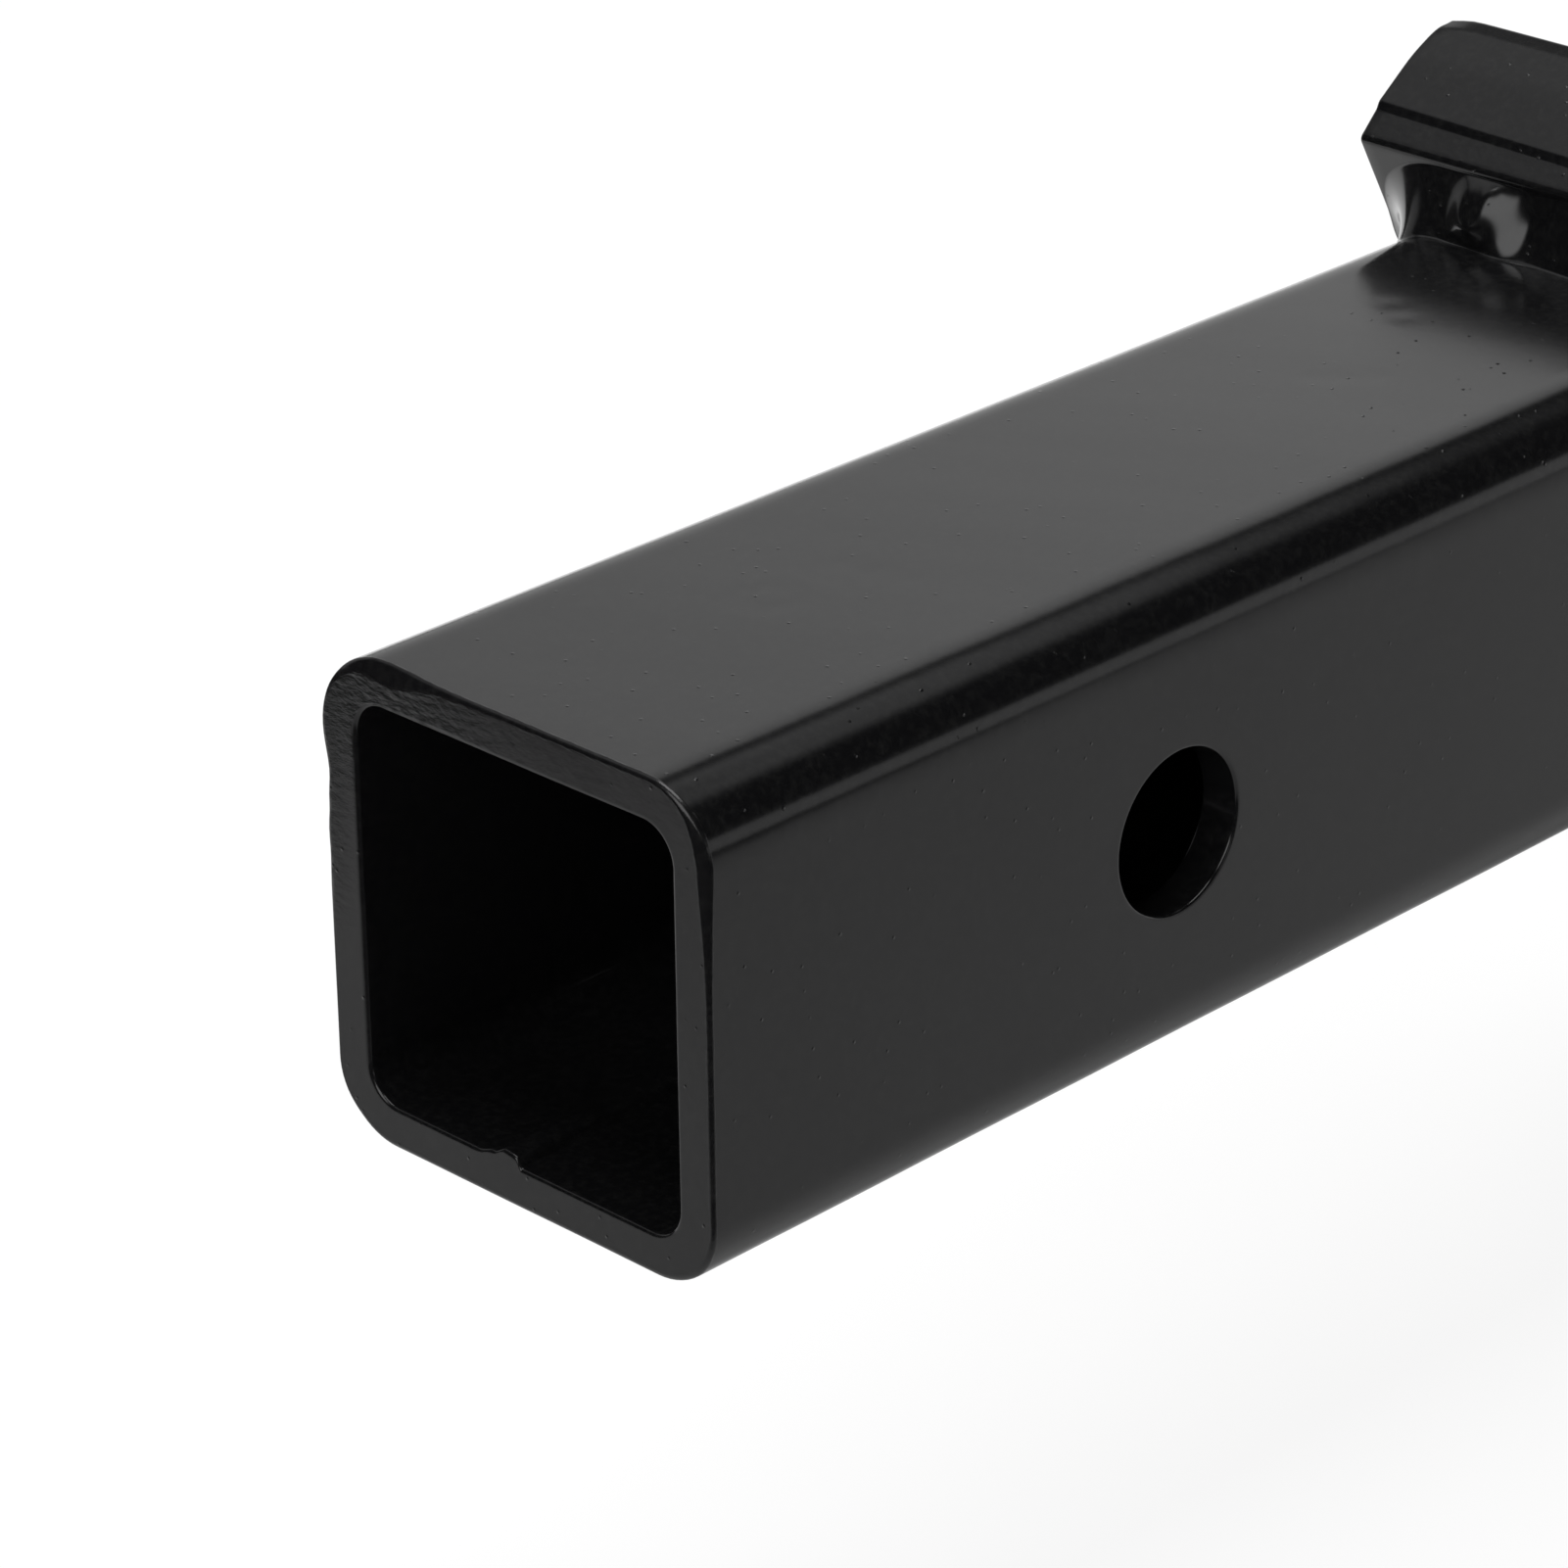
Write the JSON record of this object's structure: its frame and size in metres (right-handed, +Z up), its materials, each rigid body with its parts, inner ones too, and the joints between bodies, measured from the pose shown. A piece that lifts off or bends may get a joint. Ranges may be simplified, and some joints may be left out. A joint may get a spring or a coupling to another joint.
{
  "type": "ball mount",
  "caption": "Drop ball mount: hollow square shank with a cross pin hole, welded on the slant to a bent flat tongue bar with a ball hole in its level end. Glossy black.",
  "frame": {"origin": "centre of the hitch pin hole, on the shank's centre line", "axes": "+X along the shank from its open end towards the ball hole, +Y along the pin hole, +Z up, the way the ball stands"},
  "size_m": [0.3167, 0.06, 0.1388],
  "materials": {
    "black_paint": "glossy black coat on steel, with faint orange peel",
    "painted_weld": "the same glossy black coat over lumpy weld metal"
  },
  "bodies": {
    "root": {"shank_tube": "black_paint", "tongue_bar": "black_paint", "weld_top": "painted_weld", "weld_bottom": "painted_weld", "weld_left": "painted_weld", "weld_right": "painted_weld"}
  },
  "joints": []
}
